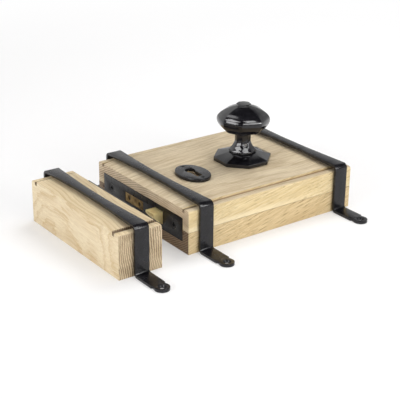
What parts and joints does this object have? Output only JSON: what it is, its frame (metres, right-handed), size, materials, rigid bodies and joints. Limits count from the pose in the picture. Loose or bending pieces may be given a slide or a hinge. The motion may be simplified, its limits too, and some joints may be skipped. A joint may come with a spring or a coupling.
{
  "type": "box lock with keep",
  "caption": "Oak-cased box lock with bent iron straps, octagonal knob on a rose, oval escutcheon, sprung latch and dead bolt, and an oak keep beside it.",
  "frame": {"origin": "Below the middle of the whole set, on the plane that lies against the door.", "axes": "+X runs along the case away from the keep, +Y from the near strap feet to the far ones, +Z away from the door towards the knob."},
  "size_m": [0.277, 0.2334, 0.1027],
  "materials": {
    "oak": "bare, planed",
    "black_iron": "black satin lacquer over forged iron",
    "brass": "machined",
    "steel": "bright rolled"
  },
  "bodies": {
    "lock": {"case_upper_board": "oak", "case_lower_board": "oak", "strap_left": "black_iron", "strap_right": "black_iron", "strap_keep": "black_iron", "forend": "black_iron", "forend_screw_near": "black_iron", "forend_screw_far": "black_iron", "lock_tray": "steel", "lock_cap": "steel", "cap_screw_1": "steel", "cap_screw_2": "steel", "cap_screw_3": "steel", "latch_spring": "steel", "escutcheon": "black_iron", "escutcheon_screw_near": "black_iron", "escutcheon_screw_far": "black_iron", "rose": "black_iron", "keep_block": "oak", "keep_plate": "black_iron", "keep_screw_near": "black_iron", "keep_screw_far": "black_iron"},
    "knob": {"knob": "black_iron", "spindle": "steel", "grub_screw": "steel", "follower": "brass"},
    "latch": {"latch_bolt": "brass"},
    "dead_bolt": {"dead_bolt": "brass", "bolt_stump": "steel", "roller_pin_1": "steel", "roller_pin_2": "steel"},
    "levers": {"lever_1": "brass", "lever_2": "brass", "lever_3": "brass", "lever_spring_1": "steel", "lever_spring_2": "steel", "lever_spring_3": "steel"}
  },
  "joints": [
    {"name": "knob_turn", "type": "hinge", "parent": "lock", "child": "knob", "pos_m": [0.06054, 0.00715, 0.0616], "axis": [0, 0, 1], "range_deg": [0, 30], "stiffness_Nm_per_rad": 0.25, "springref_deg": -17.19},
    {"name": "latch_slide", "type": "slide", "parent": "lock", "child": "latch", "axis": [1, 0, 0], "range_m": [0, 0.0102], "deforming": ["latch_spring"]},
    {"name": "bolt_slide", "type": "slide", "parent": "lock", "child": "dead_bolt", "axis": [-1, 0, 0], "range_m": [0, 0.013]},
    {"name": "lever_lift", "type": "hinge", "parent": "lock", "child": "levers", "pos_m": [0.03851, 0.02565, 0.0242], "axis": [0, 0, -1], "range_deg": [0, 4]}
  ],
  "couplings": [
    {"joint": "latch_slide", "follows": "knob_turn", "m_per_rad": 0.01948},
    {"joint": "lever_lift", "follows": "bolt_slide", "rad_per_m": 5.37}
  ]
}
